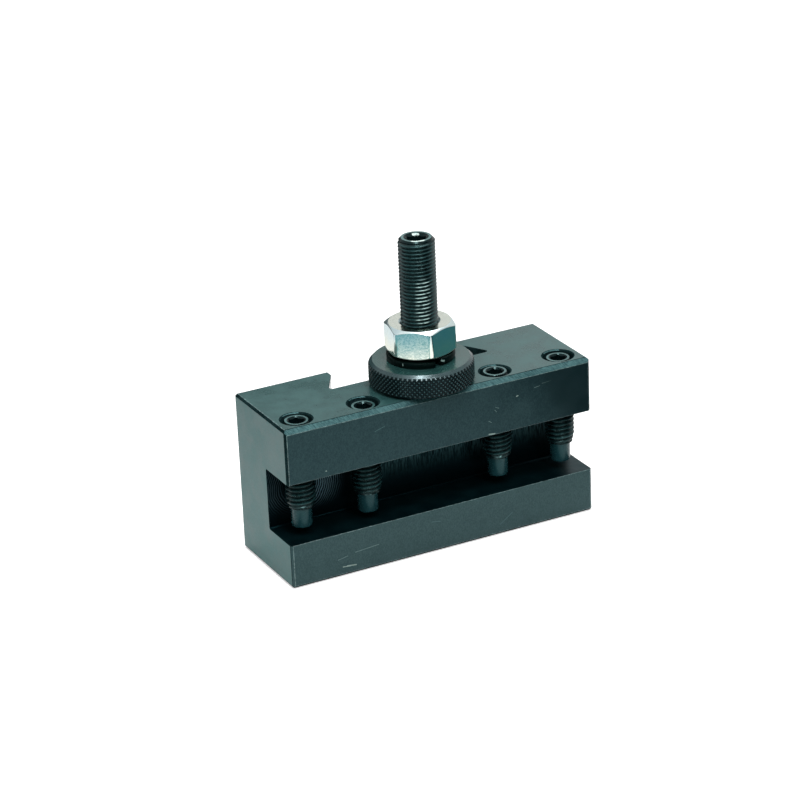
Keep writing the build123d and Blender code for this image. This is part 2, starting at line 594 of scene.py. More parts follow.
# Painted shade: the colour of a wide dark patch over the front's upper right end.
PAINTED_SHADE: Colour = (0.002, 0.008, 0.010)
# Painted highlight: the colour of the small glints painted on the spring washer.
PAINTED_GLINT: Colour = (0.26, 0.37, 0.34)
FRONT_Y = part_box("holder_body")[0].y / MM
STUD_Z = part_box("height_stud")[1].z / MM

# Marks on the block's front: X and Z of both ends and the width in millimetres, and the colour.
# The last, wide one is painted shade.
FRONT_MARKS = tuple(
    mark((x, FRONT_Y, z), (to_x, FRONT_Y, to_z), width, colour)
    for x, z, to_x, to_z, width, colour in (
        (-30.4, 2.8, -28.3, 2.6, 0.28, BARE),
        (-29.2, 2.8, -26.6, 2.5, 0.32, BARE),
        (-26.7, 6.1, -19.8, 6.6, 0.18, PALE),
        (-31.8, 5.1, -29.0, 5.6, 0.18, PALE),
        (-19.4, 38.7, -16.6, 39.5, 0.18, SCUFF),
        (-33.9, 31.1, -33.7, 31.1, 0.28, BARE),
        (22.5, 38.8, 23.0, 38.9, 0.30, BARE),
        (16.2, 37.1, 17.1, 36.7, 0.17, PALE),
        (15.9, 36.4, 16.4, 35.8, 0.17, PALE),
        (14.0, 33.7, 14.8, 33.1, 0.17, PALE),
        (14.0, 29.9, 15.7, 29.7, 0.34, BARE),
        (30.3, 40.7, 33.0, 40.9, 0.18, PALE),
        (28.0, 40.0, 29.6, 40.2, 0.18, PALE),
        (16.5, 3.1, 20.3, 5.7, 0.20, SCUFF),
        (-4.0, 9.0, -1.5, 8.6, 0.20, SCUFF),
        # A wide dark patch over the upper right end of the front: painted shade.
        (41.5, 43.0, 46.5, 29.0, 22.0, PAINTED_SHADE),
    ))

BLOCK_FINISHES: dict[IntEnum, Finish] = {
    BlockFace.GROUND: BlackOxide("ground faces", roughness=0.31),
    BlockFace.RUBBED: BlackOxide(
        "rubbed edges", dark=(0.02, 0.05, 0.05), light=(0.15, 0.24, 0.24),
        smudge=1.5 * MM),
    BlockFace.HATCHED: BlackOxide(
        "hatched chamfer", dark=(0.008, 0.030, 0.034),
        light=(0.060, 0.130, 0.134), grain=0.20 * MM, grain_share=0.75,
        gloss_tint=(0.45, 0.95, 1.0), lay=(1.0, 0.15, 0.15), slant=(0.0, 0.7, 0.0)),
    # Slot wall: near black low down and lighter towards the top, painted shade and painted light;
    # the streaks and swirl rings are cutter marks.
    BlockFace.WALL: BlackOxide(
        "slot wall", dark=(0.0002, 0.002, 0.003), light=(0.068, 0.155, 0.166),
        grain=0.32 * MM, grain_share=0.80, lay=(1.0, 1.0, 0.14), gloss=0.10,
        gloss_tint=(0.20, 0.85, 1.0), fades_in=(17 * MM, 29 * MM),
        swirl=Swirl((-36.0 * MM, -2.1 * MM, 22.5 * MM), 0.62 * MM, 14.0 * MM,
                    (0.15, 0.24, 0.28))),
    # Slot floor and ceiling painted near black: painted shade.
    BlockFace.SLOT: BlackOxide(
        "slot floor and ceiling", dark=(0.0001, 0.0025, 0.0035),
        light=(0.001, 0.005, 0.006), gloss=0.35, gloss_tint=(0.10, 0.75, 0.90)),
    # Front faces painted darker than the top faces: painted shade.
    BlockFace.FRONT: BlackOxide(
        "front faces", dark=(0.003, 0.011, 0.014), light=(0.014, 0.032, 0.035),
        gloss_tint=(0.38, 0.76, 0.82), grain=0.24 * MM, grain_share=0.7, lay=(1.0, 1.0, 0.6),
        marks=FRONT_MARKS),
    # End faces painted lighter than the top faces: painted light.
    BlockFace.END: BlackOxide(
        "end faces", dark=(0.026, 0.114, 0.112), light=(0.040, 0.152, 0.149)),
    # Broken edges and hole chamfers painted dark and without gloss: painted dark reflection.
    BlockFace.BROKEN: BlackOxide(
        "broken edges", dark=(0.003, 0.011, 0.012), light=(0.012, 0.030, 0.032),
        gloss=0.0),
    # The lower jaw's front painted lighter than the other front faces: painted light.
    BlockFace.LOWER_FRONT: BlackOxide(
        "lower front", dark=(0.018, 0.040, 0.042), light=(0.032, 0.062, 0.064),
        gloss_tint=(0.45, 0.74, 0.79), grain=0.24 * MM, grain_share=0.7, lay=(1.0, 1.0, 0.6),
        marks=FRONT_MARKS),
    BlockFace.FLANK: BlackOxide(
        "dovetail flanks", dark=(0.05, 0.11, 0.11), light=(0.08, 0.15, 0.15),
        roughness=0.10, gloss=1.0),
}

SCREW_FINISHES: dict[IntEnum, Finish] = {
    ScrewFace.THREAD: ThreadedOxide(
        "set screws", 2.9 * MM, 3.22 * MM, 3.95 * MM, gloss=0.34),
    # Sockets and end cones painted near black: painted shade.
    ScrewFace.RECESS: BlackOxide(
        "sockets", dark=(0.001, 0.004, 0.005), light=(0.003, 0.010, 0.011),
        roughness=0.18, gloss=0.22, gloss_tint=(0.6, 1.0, 1.0), marks=(
            # A bright spot painted on the far wall of the stud's socket: painted highlight.
            mark((0.7, 2.9, STUD_Z - 0.4), (1.7, 2.3, STUD_Z - 0.4), 0.7,
                 (0.66, 0.80, 0.76)),)),
    ScrewFace.END: BlackOxide(
        "screw ends", dark=(0.030, 0.080, 0.080), light=(0.070, 0.150, 0.148),
        roughness=0.28, gloss_tint=(0.75, 1.0, 1.0), marks=(
            # A light crescent painted at the front of the stud's end: painted highlight.
            mark((-2.2, -2.7, STUD_Z), (0.0, -3.5, STUD_Z), 1.2, (0.62, 0.76, 0.72)),)),
}

STUD_THREAD = ThreadedOxide(
    "stud", 3.8 * MM, 4.30 * MM, 4.87 * MM,
    # Bright crests painted on the front of the stud's lower half: painted highlight.
    painted_highlight=mark((-1.2, -4.7, 64.0), (-0.9, -4.7, 73.0), 3.4, (0.46, 0.62, 0.59)))

DISC_FINISHES: dict[IntEnum, Finish] = {
    DiscFace.RIM: KnurledOxide("knurl", 13.57 * MM, 13.99 * MM),
    DiscFace.FLAT: BlackOxide(
        "knurled nut's faces", dark=(0.010, 0.040, 0.038),
        light=(0.022, 0.066, 0.062), roughness=0.16, gloss=1.0, gloss_tint=(0.85, 1.0, 0.98)),
    # The bevel painted darker than the nut's faces: painted shade.
    DiscFace.BEVEL: BlackOxide(
        "knurled nut's bevel", dark=(0.006, 0.020, 0.022),
        light=(0.016, 0.040, 0.042), roughness=0.28, gloss=0.8, gloss_tint=(0.75, 0.95, 1.0)),
}

WASHER_FINISH = BlackOxide(
    "spring washer", dark=(0.0005, 0.003, 0.003), light=(0.002, 0.007, 0.006),
    roughness=0.22, gloss=0.06, gloss_tint=(0.7, 1.0, 1.0), marks=(
        # Two small glints painted on the washer's edge and cut end: painted highlights.
        mark((-7.8, -4.7, 52.9), (-7.8, -4.7, 52.5), 0.4, PAINTED_GLINT),
        mark((1.4, -9.0, 53.3), (2.3, -8.8, 53.0), 0.5, PAINTED_GLINT)))

HEX_FINISHES: dict[IntEnum, Finish] = {
    HexFace.SIDE: BrightZinc(),
    HexFace.CONE: BrightZinc("bright zinc plating, cones", roughness=0.32),
    # End faces in lighter, warmer colours than the sides: painted reflection.
    HexFace.END: BrightZinc(
        "bright zinc plating, end faces", cool=(0.76, 0.82, 0.74), warm=(0.80, 0.84, 0.74),
        roughness=0.14),
}


def materials(finishes: dict[IntEnum, Finish]) -> list[Material]:
    """The materials of some finishes, in the order of their numbers."""
    return [finishes[number].material() for number in sorted(finishes)]


def link_thing(name: str, data: bpy.types.ID) -> Piece:
    """Puts a mesh, a lamp or a camera into the scene as an object.

    Args:
        name: The object's name.
        data: What it shows.

    Returns:
        The new object.
    """
    thing = bpy.data.objects.new(name, data)
    bpy.context.scene.collection.objects.link(thing)
    return thing


def finished_mesh(name: str, shape: Shape, crease_deg: float = 30.0) -> Mesh:
    """Turns a working shape into a mesh with outward normals and creased edges.

    Args:
        name: The mesh's name.
        shape: The working shape, which is freed.
        crease_deg: Edges sharper than this stay creased.

    Returns:
        The mesh.
    """
    bmesh.ops.recalc_face_normals(shape, faces=shape.faces)
    for face in shape.faces:
        face.smooth = face.calc_area() < LARGE_FACE
    for edge in shape.edges:
        edge.smooth = edge.calc_face_angle(0.0) < radians(crease_deg)
    mesh = bpy.data.meshes.new(name)
    shape.to_mesh(mesh)
    shape.free()
    return mesh


def mesh_from_rows(name: str, rows: list[Row], crease_deg: float = 32.0) -> Mesh:
    """Joins rows of points by four-sided faces and stitches what coincides.

    Args:
        name: The mesh's name.
        rows: Rows with the same number of points.
        crease_deg: Edges sharper than this stay creased.

    Returns:
        A closed mesh, where the rows close round and end in poles.
    """
    shape = bmesh.new()
    grid = [[shape.verts.new(point) for point in row] for row in rows]
    for low, high in zip(grid, grid[1:]):
        for i in range(len(low) - 1):
            shape.faces.new((low[i], low[i + 1], high[i + 1], high[i]))
    bmesh.ops.remove_doubles(shape, verts=shape.verts, dist=MERGE)
    bmesh.ops.dissolve_degenerate(shape, dist=MERGE, edges=shape.edges)
    return finished_mesh(name, shape, crease_deg)


def add_tube(shape: Shape, rings: list[Row]) -> None:
    """Adds a tube with closed ends to a working shape.

    Args:
        shape: The working shape.
        rings: The rings of points that the tube runs through.
    """
    grid = [[shape.verts.new(point) for point in ring] for ring in rings]
    shape.faces.new(grid[0])
    shape.faces.new(grid[-1])
    for low, high in zip(grid, grid[1:]):
        for i, vert in enumerate(low):
            after = (i + 1) % len(low)
            shape.faces.new((vert, low[after], high[after], high[i]))


def arc(middle: tuple[float, float], r: float, start: float, sweep: float, steps: int) -> Flat:
    """Points along an arc.

    Args:
        middle: The arc's centre.
        r: Its radius.
        start: The angle at which it starts.
        sweep: The angle that it covers.
        steps: How many equal steps it is cut into.

    Returns:
        The points, with both ends.
    """
    turns = [start + sweep * i / steps for i in range(steps + 1)]
    return [(middle[0] + r * cos(turn), middle[1] + r * sin(turn)) for turn in turns]


def even_angles(count: int, start: float = 0.0) -> list[float]:
    """Angles of one full turn, with the first repeated at the end."""
    return [start + TURN * i / count for i in range(count + 1)]


def turned(angles: list[float], *steps: tuple[Profile | float, Profile | float]) -> list[Row]:
    """Rows round the Z axis.

    Args:
        angles: The angles of each row's points.
        *steps: Each row's radius and height, or functions of the angle that give them.

    Returns:
        The rows.
    """
    rows = []
    for radius, height in steps:
        row = []
        for angle in angles:
            r = radius(angle) if callable(radius) else radius
            z = height(angle) if callable(height) else height
            row.append((r * cos(angle), r * sin(angle), z))
        rows.append(row)
    return rows


def paint(mesh: Mesh, choose: Callable[[Polygon], int]) -> None:
    """Gives each face of a mesh the finish whose number a function chooses."""
    for face in mesh.polygons:
        face.material_index = choose(face)


def dress(mesh: Mesh, axis: Vector, finishes: list[Material], slot: Slot, body: str,
          *nodes: str) -> Piece:
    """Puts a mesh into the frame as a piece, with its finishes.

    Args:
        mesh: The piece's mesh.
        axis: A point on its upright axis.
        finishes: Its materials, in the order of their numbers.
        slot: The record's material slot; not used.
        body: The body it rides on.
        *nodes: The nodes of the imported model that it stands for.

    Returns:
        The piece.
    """
    piece = link_thing(f"dressed_{nodes[0]}", mesh)
    piece.location = (axis.x, axis.y, 0.0)
    for material in finishes:
        mesh.materials.append(material)
    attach(piece, body)
    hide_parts(*nodes)
    return piece


def span(node: str) -> tuple[Vector, Vector, Vector]:
    """The lowest corner, the highest corner and the middle of a node's box."""
    low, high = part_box(node)
    return low, high, (low + high) / 2


@dataclass(frozen=True)
class HexSocket:
    """The recess for a hexagon key in the end of a screw."""

    across_flats: float
    depth: float
    mouth: float
    drill_share: float = 0.46
    drill_step: float = 0.05 * MM
    drill_depth: float = 0.9 * MM

    def rows(self, top: float, angles: list[float], corner: float) -> list[Row]:
        """Rows from the mouth's rim in the end face down to the bottom.

        Args:
            top: The height of the end face.
            angles: The angles of each row's points.
            corner: The angle of one corner of the hexagon.

        Returns:
            The rows.
        """
        rim = self.mouth / 2
        side = TURN / 6
        floor_z = top - self.depth

        def reach(angle: float) -> float:
            """The distance from the axis to the wall at an angle."""
            return self.across_flats / 2 / cos((angle - corner) % side - side / 2)

        def cone(angle: float) -> float:
            """The height at which the mouth's cone meets the wall at an angle."""
            return top - max(rim - reach(angle), 0.0)

        return turned(
            angles, (rim, top), (reach, cone), (reach, floor_z),
            (self.across_flats * self.drill_share, floor_z - self.drill_step),
            (0.0, floor_z - self.drill_depth))


@dataclass(frozen=True)
class Thread:
    """A right-hand screw thread, crests outwards, with narrow flats and slightly round edges."""

    diameter: float
    pitch: float
    depth_ratio: float = 0.61
    form: tuple[tuple[float, float], ...] = (
        (0.00, 0.03), (0.03, 0.0), (0.07, 0.0), (0.12, 0.04), (0.17, 0.13),
        (0.44, 0.94), (0.50, 1.0), (0.64, 1.0), (0.70, 0.94), (0.94, 0.13))

    def depth_at(self, share: float) -> float:
        """How deep the form is, from 0 at the crest to 1 at the root.

        Args:
            share: The place along one pitch, from 0 to 1.

        Returns:
            The share of the thread's full depth.
        """
        points = [*self.form, (1.0, self.form[0][1])]
        for (start, low), (end, high) in zip(points, points[1:]):
            if start <= share <= end:
                return low + (high - low) * (share - start) / (end - start)
        return 0.0

    def rows(self, low: float, high: float, limit: Profile, angles: list[float]) -> list[Row]:
        """Rows that wind up the bar with the thread.

        Args:
            low: The height at which the thread starts.
            high: The height at which it ends.
            limit: The largest radius at a height, for chamfers and run-outs.
            angles: The angles of each row's points, over one turn.

        Returns:
            The rows. Each ends where the row one pitch above it starts.
        """
        depth = self.pitch * self.depth_ratio
        first = floor(low / self.pitch) - 1
        last = floor(high / self.pitch) + 1
        rows = []
        for number in range(first, last + 1):
            for share, _ in self.form:
                row = []
                for angle in angles:
                    wound = (angle - angles[0]) / TURN
                    z = min(max((number + share + wound) * self.pitch, low), high)
                    cut = self.depth_at((z / self.pitch - wound) % 1.0)
                    r = min(self.diameter / 2 - depth * cut, limit(z))
                    row.append((r * cos(angle), r * sin(angle), z))
                rows.append(row)
        return rows


def paint_screw(mesh: Mesh, top: float, chamfer: float, socket: HexSocket) -> None:
    """Gives a screw's faces their finishes.

    Args:
        mesh: The screw's mesh.
        top: The height of the end face.
        chamfer: The height of the end cone.
        socket: The socket in the end face.
    """

    def finish_of(face: Polygon) -> ScrewFace:
        """The finish of one face.

        Args:
            face: The face.

        Returns:
            The end's, the recess's on the end cone too, or the thread's.
        """
        place = face.center
        if place.z > top - MERGE:
            return ScrewFace.END
        in_socket = place.xy.length < socket.mouth / 2 and place.z > top - 2 * socket.depth
        return ScrewFace.RECESS if in_socket or place.z > top - chamfer else ScrewFace.THREAD

    paint(mesh, finish_of)


@dataclass
class ClampScrew:
    """A socket set screw with a long dog point, M8 by 1.25."""

    number: int
    socket_turn_deg: float
    finishes: list[Material]
    thread: Thread = Thread(7.95 * MM, 1.25 * MM)
    socket: HexSocket = HexSocket(4.0 * MM, 4.5 * MM, 5.0 * MM)
    point_r: float = 2.75 * MM
    point_length: float = 5.4 * MM
    point_round: float = 0.40 * MM
    neck_r: float = 2.83 * MM
    neck_low: float = 0.25 * MM
    neck_high: float = 0.06 * MM
    shoulder_r: float = 3.45 * MM
    runout_length: float = 2.5 * MM
    top_chamfer: float = 0.9 * MM
    foot_gap: float = 0.02 * MM
    columns: int = 60

    def build(self) -> Piece:
        """Builds the screw where its node stands.

        Returns:
            The dressed screw.
        """
        node = f"clamp_screw_{self.number}"
        low, high, middle = span(node)
        shoulder = low.z + self.point_length
        crest = self.thread.diameter / 2
        slope = (crest - self.shoulder_r) / self.runout_length

        def limit(z: float) -> float:
            """The largest radius of the shank, which is coned at both ends, at a height."""
            return min(self.shoulder_r + slope * (z - shoulder),
                       crest - self.top_chamfer + (high.z - z), crest)

        corner = radians(self.socket_turn_deg)
        angles = even_angles(self.columns, corner)
        foot = low.z + self.foot_gap
        soft = self.point_round
        r = self.point_r
        rows = [
            *turned(angles, (0.0, foot), (r - soft, foot),
                    (r - soft * 0.3, foot + soft * 0.3), (r, foot + soft),
                    (r, shoulder - self.neck_low), (self.neck_r, shoulder - self.neck_high)),
            *self.thread.rows(shoulder, high.z, limit, angles),
            *self.socket.rows(high.z, angles, corner),
        ]
        mesh = mesh_from_rows(node, rows)
        paint_screw(mesh, high.z, self.top_chamfer, self.socket)
        return dress(mesh, middle, self.finishes, Slot.SCREW, f"screw_{self.number}", node)


@dataclass
class HeightStud:
    """The M10 by 1 stud, threaded from end to end, with a countersunk hexagon socket."""

    finishes: list[Material]
    thread: Thread = Thread(9.8 * MM, 1.0 * MM)
    socket: HexSocket = HexSocket(5.0 * MM, 6.0 * MM, 6.6 * MM)
    end_chamfer: float = 0.9 * MM
    columns: int = 72

    def build(self) -> Piece:
        """Builds the stud where its node stands.

        Returns:
            The dressed stud.
        """
        low, high, middle = span("height_stud")
        crest = self.thread.diameter / 2
        edge = crest - self.end_chamfer

        def limit(z: float) -> float:
            """The largest radius of the stud, which is coned at both ends, at a height."""
            return min(edge + (z - low.z), edge + (high.z - z), crest)

        angles = even_angles(self.columns)
        rows = [
            *turned(angles, (0.0, low.z)),
            *self.thread.rows(low.z, high.z, limit, angles),
            *self.socket.rows(high.z, angles, 0.0),
        ]
        mesh = mesh_from_rows("height_stud", rows)
        paint_screw(mesh, high.z, self.end_chamfer, self.socket)
        return dress(mesh, middle, self.finishes, Slot.SCREW, Body.HOLDER.value, "height_stud")


@dataclass
class KnurledNut:
    """The height nut: a disc with a diamond knurl, broken edges and a plain bore."""

    finishes: list[Material]
    bore_r: float = 4.95 * MM
    bore_chamfer: float = 0.35 * MM
    top_bevel: float = 1.15 * MM
    bottom_bevel: float = 0.45 * MM
    diamonds: int = 69
    diamond_height: float = 1.27 * MM
    knurl_depth: float = 0.38 * MM
    tip_flat: float = 0.08
    rim_gap: float = 0.01 * MM
    top_ring: float = 0.2 * MM
    steps: int = 3
    crease_deg: float = 28.0

    def groove(self, across: float, up: float) -> float:
        """How deep the knurl is at a place.

        Args:
            across: Diamonds counted round the rim.
            up: Diamonds counted up the rim.

        Returns:
            0 on a diamond's tip and 1 in a groove.
        """
        one = abs((across + up) % 1.0 - 0.5) * 2
        other = abs((across - up) % 1.0 - 0.5) * 2
        return max(max(one, other) - self.tip_flat, 0.0) / (1 - self.tip_flat)

    def build(self) -> Piece:
        """Builds the nut where its node stands.

        Returns:
            The dressed nut.
        """
        low, high, middle = span("height_nut")
        rim = (high.x - low.x) / 2 - self.rim_gap
        angles = even_angles(self.diamonds * 2 * self.steps)
        step = self.diamond_height / 2 / self.steps
        foot = low.z
        top = high.z
        top_r = rim - self.top_bevel
        chamfer = self.bore_chamfer

        def knurled(z: float) -> Row:
            """The row of the rim at a height.

            Args:
                z: The height.

            Returns:
                The row's points.
            """
            envelope = min(rim, rim - self.bottom_bevel + (z - foot), top_r + (top - z))
            up = (z - foot) / self.diamond_height
            row = []
            for i, angle in enumerate(angles):
                cut = self.knurl_depth * self.groove(i / 2 / self.steps, up)
                r = min(rim - cut, envelope)
                row.append((r * cos(angle), r * sin(angle), z))
            return row

        levels = []
        z = foot + step
        while z < top - step / 4:
            levels.append(z)
            z += step
        bore = self.bore_r
        rows = [
            *turned(angles, (bore, foot + chamfer), (bore + chamfer, foot),
                    (rim - self.bottom_bevel, foot)),
            *[knurled(z) for z in levels],
            *turned(angles, (top_r, top), (top_r - self.top_ring, top), (bore + chamfer, top),
                    (bore, top - chamfer), (bore, foot + chamfer)),
        ]

        def finish_of(face: Polygon) -> DiscFace:
            """The finish of a face, by how far it looks upwards."""
            if abs(face.normal.z) > LEVEL:
                return DiscFace.FLAT
            return DiscFace.BEVEL if face.normal.z > LEANING else DiscFace.RIM

        mesh = mesh_from_rows("height_nut", rows, self.crease_deg)
        paint(mesh, finish_of)
        return dress(mesh, middle, self.finishes, Slot.NUT, Body.KNURLED_NUT.value,
                     "height_nut")


@dataclass
class SpringWasher:
    """The split lock washer: a bar wound left-handed, its cut ends apart in height."""

    finishes: list[Material]
    inner_r: float = 5.2 * MM
    width: float = 3.85 * MM
    thick: float = 1.6 * MM
    rise: float = 0.6 * MM
    edge_round: float = 0.22 * MM
    split_deg: float = 11.0
    low_end_deg: float = -93.0
    stations: int = 120

    def section(self) -> Flat:
        """The bar's section, with rounded corners.

        Returns:
            A closed ring of (radius, height) points.
        """
        soft = self.edge_round
        inner, outer = self.inner_r + soft, self.inner_r + self.width - soft
        middles = ((outer, soft), (outer, self.thick - soft), (inner, self.thick - soft),
                   (inner, soft))
        points = []
        for number, middle in enumerate(middles):
            points += arc(middle, soft, (number - 1) * pi / 2, pi / 2, 3)
        return [*points, points[0]]

    def build(self) -> Piece:
        """Builds the washer where its node stands.

        Returns:
            The dressed washer.
        """
        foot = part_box("lock_washer")[0].z
        middle = span("height_nut")[2]
        section = self.section()
        heart = (self.inner_r + self.width / 2, self.thick / 2)
        sweep = radians(360 - self.split_deg)

        def wound(points: Flat, share: float) -> Row:
            """The points of a section, at a share of the way along the bar."""
            angle = radians(self.low_end_deg) - sweep * share
            lift = foot + self.rise * share
            return [(r * cos(angle), r * sin(angle), lift + z) for r, z in points]

        rows = [wound([heart] * len(section), 0.0)]
        rows += [wound(section, i / self.stations) for i in range(self.stations + 1)]
        rows.append(wound([heart] * len(section), 1.0))
        return dress(mesh_from_rows("lock_washer", rows), middle, self.finishes, Slot.WASHER,
                     Body.WASHER.value, "lock_washer")


@dataclass
class LockNut:
    """The hexagon nut, coned at both ends, with slightly rounded corners."""

    finishes: list[Material]
    across_flats: float = 17.0 * MM
    face_r: float = 8.2 * MM
    cone_deg: float = 30.0
    corner_deg: float = 20.0
    corner_round: float = 1.40 * MM
    edge_round: float = 0.22 * MM
    bore_r: float = 4.95 * MM
    mouth: float = 0.55 * MM
    flat_steps: int = 10
    corner_steps: int = 6
    flat_face: float = 1.5 * MM ** 2
    crease_deg: float = 26.0

    def flat_edge(self) -> float:
        """The angle from a flat's middle to where its corner's round starts."""
        flat = self.across_flats / 2
        return atan((flat - self.corner_round) * tan(pi / 6) / flat)

    def side_angles(self) -> list[float]:
        """The angles of the columns, which are closer at the corners.

        Returns:
            The angles over one turn, with the first repeated at the end.
        """
        edge = self.flat_edge()
        span_round = pi / 3 - 2 * edge
        angles = []
        for side in range(6):
            middle = radians(self.corner_deg) + pi / 6 + side * pi / 3
            angles += [middle - edge + 2 * edge * i / self.flat_steps
                       for i in range(self.flat_steps)]
            angles += [middle + edge + span_round * i / self.corner_steps
                       for i in range(self.corner_steps)]
        return [*angles, angles[0] + TURN]

    def side(self, angle: float) -> float:
        """The distance from the axis to the nut's side.

        Args:
            angle: The angle at which it is taken.

        Returns:
            The distance.
        """
        flat = self.across_flats / 2
        off_corner = (angle - radians(self.corner_deg) + pi / 6) % (pi / 3) - pi / 6
        off_flat = pi / 6 - abs(off_corner)
        if off_flat <= self.flat_edge() + ANGLE_ERROR:
            return flat / cos(off_flat)
        middle = (flat - self.corner_round) / cos(pi / 6)
        half_chord = sqrt(self.corner_round ** 2 - (middle * sin(off_corner)) ** 2)
        return middle * cos(off_corner) + half_chord

    def edge_row(self, end: float, inward: float, back: float, cone_back: float,
                 past: float) -> tuple[Profile, Profile]:
        """A row round the edge between the sides and an end's cone.

        Args:
            end: The height of the end.
            inward: 1 where the nut lies above that end and -1 where it lies below.
            back: How far inside the sides the row lies.
            cone_back: How far inside the sides the cone's height is taken.
            past: How far past the cone the row lies.

        Returns:
            The row's radius and height, as functions of the angle.
        """
        slope = tan(radians(self.cone_deg))

        def height(angle: float) -> float:
            """The row's height at an angle."""
            cone = max(self.side(angle) - cone_back - self.face_r, 0.0) * slope
            return end + inward * (cone + past)

        return lambda angle: self.side(angle) - back, height

    def build(self) -> Piece:
        """Builds the nut where its node stands.

        Returns:
            The dressed nut.
        """
        low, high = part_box("lock_nut")
        middle = span("height_nut")[2]
        soft = self.edge_round
        # How far inside the sides a row and its cone's height lie, and how far past the cone.
        edge = [(0.0, 0.0, soft), (soft * 0.18, 0.0, soft * 0.3), (soft, soft, 0.0)]
        bore, mouth = self.bore_r, self.mouth
        rows = turned(
            self.side_angles(),
            (bore, low.z + mouth), (bore + mouth, low.z), (self.face_r, low.z),
            *[self.edge_row(low.z, 1.0, *sizes) for sizes in reversed(edge)],
            *[self.edge_row(high.z, -1.0, *sizes) for sizes in edge],
            (self.face_r, high.z), (bore + mouth, high.z), (bore, high.z - mouth),
            (bore, low.z + mouth))
        mesh = mesh_from_rows("lock_nut", rows, self.crease_deg)

        def finish_of(face: Polygon) -> HexFace:
            """The finish of a face, by how far it looks up or down."""
            if abs(face.normal.z) > NEARLY_FLAT:
                return HexFace.END
            return HexFace.CONE if abs(face.normal.z) > HALF else HexFace.SIDE

        paint(mesh, finish_of)
        for face in mesh.polygons:
            face.use_smooth = face.area < self.flat_face
        return dress(mesh, middle, self.finishes, Slot.ZINC, Body.HEX_NUT.value, "lock_nut")


